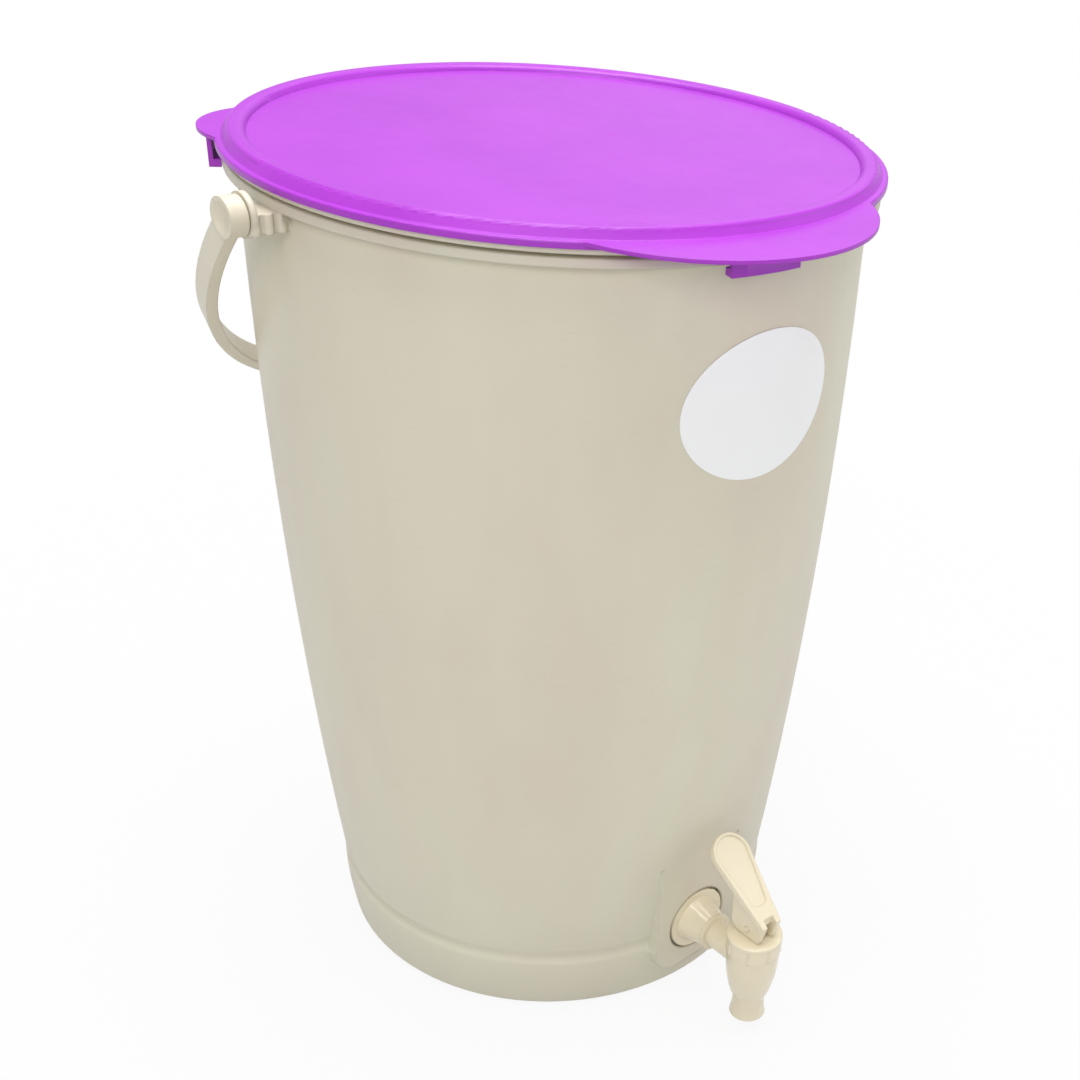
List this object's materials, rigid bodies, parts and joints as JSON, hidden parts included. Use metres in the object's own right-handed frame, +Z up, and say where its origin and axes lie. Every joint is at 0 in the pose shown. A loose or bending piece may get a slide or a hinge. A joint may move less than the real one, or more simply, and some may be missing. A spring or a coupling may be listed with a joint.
{
  "type": "indoor composting bucket",
  "caption": "Tapered indoor composting bucket with a clip-on lid, bail handle, perforated false floor and a lever tap that drains liquid at the foot.",
  "frame": {"origin": "centre of the foot ring, on the surface that the bucket stands on", "axes": "+Z up along the bucket's axis; -Y is the front with the tap, the label and the lid's tab; the handle's pivots lie along X"},
  "size_m": [0.324, 0.3222, 0.4182],
  "materials": {
    "bucket": "moulded beige polypropylene, satin",
    "lid": "moulded purple polypropylene, satin",
    "handle": "moulded beige polypropylene, satin",
    "strainer": "moulded beige polypropylene",
    "label": "white vinyl sticker, bare",
    "tap": "moulded ivory polypropylene, satin gloss",
    "silicone": "translucent white silicone",
    "rubber": "black sealing rubber"
  },
  "bodies": {
    "bucket": {"bucket_body": "bucket", "front_label": "label", "tap_body": "tap", "tap_bonnet": "tap", "tap_outer_washer": "rubber", "tap_inner_washer": "rubber", "tap_back_nut": "tap"},
    "lid": {"lid": "lid", "lid_seal": "silicone"},
    "handle": {"handle": "handle"},
    "strainer": {"strainer_plate": "strainer"},
    "stem": {"tap_stem": "tap", "tap_lever_pin": "tap", "tap_seat_cup": "silicone"},
    "lever": {"tap_lever": "tap"}
  },
  "joints": [
    {"name": "lid_lift", "type": "slide", "parent": "bucket", "child": "lid", "axis": [0, 0, 1], "range_m": [0, 0.15]},
    {"name": "handle_swing", "type": "hinge", "parent": "bucket", "child": "handle", "pos_m": [0, 0, 0.4021], "axis": [1, 0, 0], "range_deg": [0, 267]},
    {"name": "strainer_lift", "type": "slide", "parent": "bucket", "child": "strainer", "axis": [0, 0, 1], "range_m": [0, 0.33]},
    {"name": "stem_lift", "type": "slide", "parent": "bucket", "child": "stem", "axis": [0, 0, 1], "range_m": [0, 0.00515], "deforming": ["tap_seat_cup"]},
    {"name": "lever_tilt", "type": "hinge", "parent": "stem", "child": "lever", "pos_m": [0, -0.1616, 0.067], "axis": [1, 0, 0], "range_deg": [0, 45]}
  ],
  "couplings": [
    {"joint": "stem_lift", "follows": "lever_tilt", "m_per_rad": 0.006494}
  ]
}
